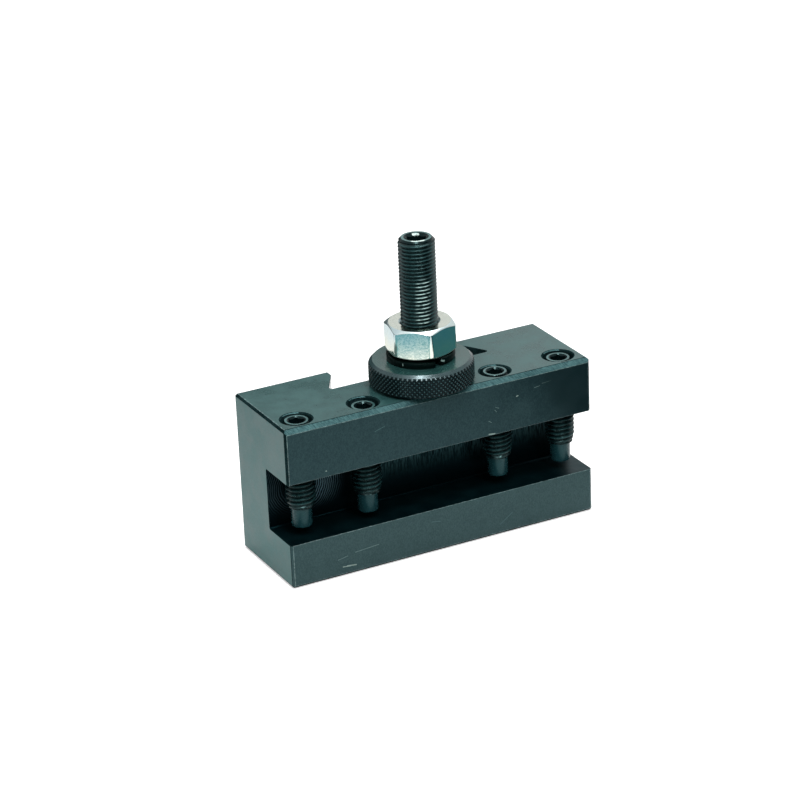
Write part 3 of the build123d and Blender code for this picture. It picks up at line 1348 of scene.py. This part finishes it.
@dataclass
class ToolBlock:
    """The steel block with its two jaws, tool slot, dovetail and holes."""

    finishes: list[Material]
    lower_jaw: float = 12.3 * MM
    slot_height: float = 17.1 * MM
    slot_depth: float = 12.9 * MM
    slot_round: float = 0.5 * MM
    top_front_chamfer: float = 1.2 * MM
    bottom_front_chamfer: float = 0.8 * MM
    back_chamfer: float = 0.5 * MM
    end_chamfer: float = 0.6 * MM
    back_corner: float = 0.25 * MM
    mouth: float = 38.2 * MM
    dovetail_depth: float = 11.3 * MM
    tip_flat: float = 2.7 * MM
    dovetail_round: float = 0.8 * MM
    lip: float = 0.3 * MM
    flank_deg: float = 60.0
    dovetail_x: float = 0.95 * MM
    screw_hole_r: float = 4.035 * MM
    stud_hole_r: float = 4.95 * MM
    hole_chamfer: float = 0.35 * MM
    hole_columns: int = 64
    edge_break: float = 0.18 * MM
    broken_deg: float = 28.0
    rubbed_front: float = 0.3 * MM
    rubbed_top: float = 0.2 * MM
    round_steps: int = 4
    crease_deg: float = 40.0
    past: float = 1.0 * MM

    def outline(self) -> Flat:
        """The block's section, a C that opens to the front.

        Returns:
            The section as (y, z) points.
        """
        low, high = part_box("holder_body")
        front, back, bottom, top = low.y, high.y, low.z, high.z
        soft = self.slot_round
        corner = front + self.slot_depth - soft
        ceiling = self.lower_jaw + self.slot_height
        return [
            (front + self.bottom_front_chamfer, bottom),
            (front, bottom + self.bottom_front_chamfer),
            (front, self.lower_jaw),
            *arc((corner, self.lower_jaw + soft), soft, -pi / 2, pi / 2, self.round_steps),
            *arc((corner, ceiling - soft), soft, 0.0, pi / 2, self.round_steps),
            (front, ceiling),
            (front, top - self.top_front_chamfer),
            (front + self.top_front_chamfer, top),
            (back - self.back_chamfer, top),
            (back, top - self.back_chamfer),
            (back, bottom + self.back_chamfer),
            (back - self.back_chamfer, bottom),
        ]

    def break_edge(self, shape: Shape, place: Point, outward: Point) -> None:
        """Cuts an edge off a working shape along a plane and closes it again.

        Args:
            shape: The working shape.
            place: A point on the plane.
            outward: The plane's normal, on the side that is cut off.
        """
        cut = bmesh.ops.bisect_plane(
            shape, geom=[*shape.verts, *shape.edges, *shape.faces],
            plane_co=place, plane_no=outward, clear_outer=True)
        rim = [e for e in cut["geom_cut"] if isinstance(e, bmesh.types.BMEdge)]
        bmesh.ops.holes_fill(shape, edges=rim, sides=0)

    def bar(self) -> Shape:
        """The section drawn out along X, with the outer edges of its ends broken.

        Returns:
            A working shape.
        """
        low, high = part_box("holder_body")
        shape = bmesh.new()
        add_tube(shape, [[(x, y, z) for y, z in self.outline()] for x in (low.x, high.x)])
        bmesh.ops.recalc_face_normals(shape, faces=shape.faces)
        edge = self.end_chamfer
        for side, end in ((-1.0, low.x), (1.0, high.x)):
            self.break_edge(shape, (end, 0.0, high.z - edge), (side, 0.0, 1.0))
            self.break_edge(shape, (end, 0.0, low.z + edge), (side, 0.0, -1.0))
            self.break_edge(shape, (end, low.y + edge, 0.0), (side, -1.0, 0.0))
            self.break_edge(shape, (end, high.y - self.back_corner, 0.0), (side, 1.0, 0.0))
        return shape

    def dovetail(self, shape: Shape) -> None:
        """Adds the dovetail's cutter to a working shape.

        Args:
            shape: The working shape of all cutters.
        """
        low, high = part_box("holder_body")
        back = high.y
        flank = radians(self.flank_deg)
        half_mouth = self.mouth / 2
        half_floor = half_mouth + (self.dovetail_depth - self.tip_flat) / tan(flank)
        soft = self.dovetail_round
        middle = (half_floor - soft / tan(flank / 2), back - self.dovetail_depth + soft)
        half = [
            *arc(middle, soft, -pi / 2, pi - flank, self.round_steps),
            (half_mouth, back - self.tip_flat),
            (half_mouth, back - self.lip),
            (half_mouth + self.lip + self.past, back + self.past),
        ]
        ring = [(self.dovetail_x + x, y) for x, y in half]
        ring += [(self.dovetail_x - x, y) for x, y in reversed(half)]
        add_tube(shape, [[(x, y, z) for x, y in ring]
                         for z in (low.z - self.past, high.z + self.past)])

    def hole(self, shape: Shape, node: str, r: float, foot: float, through: bool) -> None:
        """Adds one hole's cutter to a working shape.

        Args:
            shape: The working shape of all cutters.
            node: The node that stands in the hole.
            r: The hole's radius.
            foot: The height at which the hole ends below.
            through: Whether the lower end is open and broken as the upper one is.
        """
        axis = span(node)[2]
        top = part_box("holder_body")[1].z
        edge, past = self.hole_chamfer, self.past
        steps = [(r + edge + past, foot - past), (r, foot + edge)] if through else [(r, foot)]
        steps += [(r, top - edge), (r + edge + past, top + past)]
        angles = even_angles(self.hole_columns)[:-1]
        add_tube(shape, [[(axis.x + radius * cos(angle), axis.y + radius * sin(angle), z)
                          for angle in angles] for radius, z in steps])

    def cutters(self) -> Shape:
        """Everything that is cut out of the bar.

        Returns:
            A working shape.
        """
        shape = bmesh.new()
        self.dovetail(shape)
        ceiling = self.lower_jaw + self.slot_height
        for number in range(1, 5):
            self.hole(shape, f"clamp_screw_{number}", self.screw_hole_r, ceiling, True)
        self.hole(shape, "height_stud", self.stud_hole_r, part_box("height_stud")[0].z, False)
        bmesh.ops.recalc_face_normals(shape, faces=shape.faces)
        return shape

    def finish_of(self, face: bmesh.types.BMFace, low: Vector, high: Vector) -> BlockFace:
        """Which finish a face has.

        Args:
            face: A face of the block after its edges were broken.
            low: The block's lowest corner.
            high: The block's highest corner.

        Returns:
            The finish.
        """
        middle = face.calc_center_median()
        normal = face.normal
        at_end = min(middle.x - low.x, high.x - middle.x) < self.end_chamfer + self.edge_break
        if face.material_index == BlockFace.RUBBED:
            rubbed = (middle.y < low.y + self.rubbed_front
                      or at_end and middle.z > high.z - self.rubbed_top)
            return BlockFace.RUBBED if rubbed else BlockFace.BROKEN
        in_chamfer = middle.z > high.z - self.top_front_chamfer
        if normal.y < -LEANING and normal.z > LEANING and in_chamfer:
            return BlockFace.HATCHED
        wall = low.y + self.slot_depth
        ceiling = self.lower_jaw + self.slot_height
        in_slot = self.lower_jaw - MERGE < middle.z < ceiling + MERGE and middle.y < wall + MERGE
        if in_slot and abs(normal.x) < HALF:
            return BlockFace.WALL if normal.y < -HALF else BlockFace.SLOT
        if normal.y < -LEVEL:
            return BlockFace.LOWER_FRONT if middle.z < self.lower_jaw else BlockFace.FRONT
        if abs(normal.x) > LEVEL and at_end:
            return BlockFace.END
        if middle.y > wall and normal.x > STEEP and not at_end:
            return BlockFace.FLANK
        if normal.y < -HALF and abs(normal.x) > HALF and middle.z < self.lower_jaw:
            return BlockFace.LOWER_FRONT
        level = abs(normal.z) > LEVEL or normal.y > LEVEL
        return BlockFace.GROUND if level else BlockFace.BROKEN

    def build(self) -> Piece:
        """Builds the block where its node stands.

        Returns:
            The dressed block.
        """
        low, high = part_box("holder_body")
        bar = link_thing("bar", finished_mesh("bar", self.bar()))
        cutter = link_thing("cutters", finished_mesh("cutters", self.cutters()))
        for material in self.finishes:
            bar.data.materials.append(material)
        cut = bar.modifiers.new("cut", "BOOLEAN")
        cut.operation = "DIFFERENCE"
        cut.solver = "EXACT"
        cut.object = cutter
        broken = bar.modifiers.new("broken edges", "BEVEL")
        broken.width = self.edge_break
        broken.segments = 2
        broken.limit_method = "ANGLE"
        broken.angle_limit = radians(self.broken_deg)
        broken.material = BlockFace.RUBBED
        graph = bpy.context.evaluated_depsgraph_get()
        solid = bpy.data.meshes.new_from_object(bar.evaluated_get(graph))
        bpy.data.objects.remove(cutter)
        bpy.data.objects.remove(bar)
        shape = bmesh.new()
        shape.from_mesh(solid)
        for face in shape.faces:
            face.material_index = self.finish_of(face, low, high)
        mesh = finished_mesh("holder_body", shape, self.crease_deg)
        return dress(mesh, Vector(), self.finishes, Slot.BLOCK, Body.HOLDER.value,
                     "holder_body")


@dataclass
class Softbox:
    """One rectangular lamp."""

    name: str
    place: Point
    size: float
    power: float
    height: float = 0.0
    aim: Point = (0.0, 0.0, 0.03)

    def build(self) -> Piece:
        """Hangs the lamp and points it at the object.

        Returns:
            The lamp.
        """
        lamp = bpy.data.lights.new(self.name, "AREA")
        lamp.shape = "RECTANGLE"
        lamp.size = self.size
        lamp.size_y = self.height or self.size
        lamp.energy = self.power
        place = Vector(self.place)
        way = (Vector(self.aim) - place).to_track_quat("-Z", "Y")
        holder = link_thing(self.name, lamp)
        holder.matrix_world = Matrix.Translation(place) @ way.to_matrix().to_4x4()
        return holder


def lying(height: float, *corners: tuple[float, float]) -> tuple[Point, ...]:
    """The corners of a level sheet."""
    return tuple((x, y, height) for x, y in corners)


def upright(y: float, left: float, right: float, top: float) -> tuple[Point, ...]:
    """The corners of a sheet that stands on the table, along X."""
    return ((left, y, 0.0), (right, y, 0.0), (right, y, top), (left, y, top))


def sheet(name: str, corners: tuple[Point, ...], material: Material) -> Piece:
    """Sets up a flat sheet that belongs to the studio.

    Args:
        name: Its name.
        corners: Its corners.
        material: What it is made of.

    Returns:
        The sheet.
    """
    shape = bmesh.new()
    shape.faces.new([shape.verts.new(corner) for corner in corners])
    thing = link_thing(name, finished_mesh(name, shape))
    thing.data.materials.append(material)
    return thing


@dataclass
class Card:
    """A coloured card out of the picture, which the steel mirrors."""

    name: str
    corners: tuple[Point, ...]
    colour: Colour

    def build(self) -> Piece:
        """Sets up the card.

        Returns:
            The card.
        """
        s = Shading(self.name)
        s.coat(self.colour, 1.0, 0.0)
        card = sheet(self.name, self.corners, s.material)
        card.visible_camera = False
        card.visible_shadow = False
        return card


@dataclass
class Studio:
    """The pale table, the soft lamps, the white surround and the camera."""

    target: Point = (-3.1 * MM, 2.4 * MM, 37.4 * MM)
    azimuth_deg: float = -26.63
    elevation_deg: float = 23.167
    roll_deg: float = -2.516
    distance: float = 0.840
    lens_mm: float = 143.03
    floor_size: float = 4.0
    floor_z: float = -0.02 * MM
    sky: float = 0.45
    horizon: float = 0.12
    lamps: list[Softbox] = field(default_factory=lambda: [
        Softbox("key", (0.23, 0.13, 0.80), 0.45, 3.3),
        Softbox("left lamp", (-0.26, -0.20, 0.45), 0.25, 0.4),
        Softbox("front lamp", (-0.135, -0.265, 0.70), 0.15, 1.9),
        Softbox("thread lamp", (0.01, -0.52, 0.60), 0.05, 1.7, 0.30),
    ])
    cards: list[Card] = field(default_factory=lambda: [
        Card("right card", lying(CARD_Z, (0.115, -0.70), (0.70, -0.70), (0.70, 0.10),
                                 (0.13, 0.0), (0.115, -0.04)), (0.03, 0.11, 0.12)),
        Card("near card", lying(CARD_Z, (0.062, -0.70), (0.115, -0.70), (0.115, -0.010),
                                (0.062, -0.035)), (0.01, 0.04, 0.045)),
        Card("left card", lying(CARD_Z, (-0.60, -0.70), (-0.06, -0.70), (-0.06, -0.1178),
                                (-0.115, -0.0938), (-0.125, 0.03), (-0.60, 0.08)),
             (0.16, 0.34, 0.36)),
        Card("front card", upright(-0.50, -0.50, 0.70, 0.45), (0.02, 0.05, 0.05)),
        Card("back card", upright(0.16, -0.40, 0.10, 0.120), (0.05, 0.07, 0.07)),
    ])

    def camera(self) -> None:
        """Sets up the camera at the photograph's angle."""
        turn = radians(self.azimuth_deg)
        tilt = radians(self.elevation_deg)
        roll = radians(self.roll_deg)
        back = Vector((sin(turn) * cos(tilt), -cos(turn) * cos(tilt), sin(tilt)))
        level = Vector((0.0, 0.0, 1.0)).cross(back).normalized()
        right = level * cos(roll) + back.cross(level) * sin(roll)
        data = bpy.data.cameras.new("camera")
        data.lens = self.lens_mm
        data.clip_start = 0.01
        axes = Matrix((right, back.cross(right), back)).transposed().to_4x4()
        place = Vector(self.target) + back * self.distance
        holder = link_thing("camera", data)
        holder.matrix_world = Matrix.Translation(place) @ axes
        bpy.context.scene.camera = holder

    def table(self) -> None:
        """Lays the pale table under the object, brighter to the camera far from it."""
        s = Shading("pale table")
        s.coat(s.blend(s.noise(900.0), (0.90, 0.90, 0.90), (0.93, 0.93, 0.93)), 0.9)
        seen = s.node("LightPath", "Is Camera Ray", {})
        s.set("Emission Color", WHITE)
        s.set("Emission Strength", s.times(seen, s.spread(s.radial(), 0.15, 0.90, 0.45, 1.0)))
        half = self.floor_size / 2
        corners = lying(self.floor_z, (-half, -half), (half, -half), (half, half), (-half, half))
        sheet("table", corners, s.material)

    def surround(self) -> None:
        """Makes the surround bright to the camera and to gloss, and a soft sky on the object."""
        world = bpy.data.worlds.new("surround")
        bpy.context.scene.world = world
        world.use_nodes = True
        n = Nodes(world.node_tree)
        height = n.node("SeparateXYZ", "Z", {"Vector": n.node("TexCoord", "Generated", {})})
        soft = n.tree.nodes["Background"]
        n.feed(soft.inputs["Color"], WHITE)
        n.feed(soft.inputs["Strength"], n.spread(height, -0.1, 0.8, self.horizon, self.sky))
        bright = n.node("Background", "Background", {"Color": (0.8, 0.8, 0.8), "Strength": 1.0})
        seen = n.maths("MAXIMUM", n.node("LightPath", "Is Camera Ray", {}),
                       n.node("LightPath", "Is Glossy Ray", {}))
        mix = n.node("MixShader", "Shader", {"Fac": seen, 1: soft.outputs[0], 2: bright})
        n.feed(n.tree.nodes["World Output"].inputs["Surface"], mix)

    def build(self) -> None:
        """Sets up everything round the object."""
        self.camera()
        self.table()
        self.surround()
        for thing in (*self.lamps, *self.cards):
            thing.build()
        bpy.context.scene.view_settings.view_transform = "Standard"


def main() -> None:
    """Builds the studio and every piece."""
    logging.basicConfig(level=logging.INFO)
    Studio().build()
    screw = materials(SCREW_FINISHES)
    stud = [STUD_THREAD.material(), *screw[ScrewFace.RECESS:]]
    things = [
        ToolBlock(materials(BLOCK_FINISHES)),
        *[ClampScrew(number, turn, screw)
          for number, turn in enumerate(SOCKET_TURNS_DEG, start=1)],
        HeightStud(stud),
        KnurledNut(materials(DISC_FINISHES)),
        SpringWasher([WASHER_FINISH.material()]),
        LockNut(materials(HEX_FINISHES)),
    ]
    for thing in things:
        piece = thing.build()
        log.info("%s: %d faces", piece.name, len(piece.data.polygons))


if __name__ == "__main__":
    main()
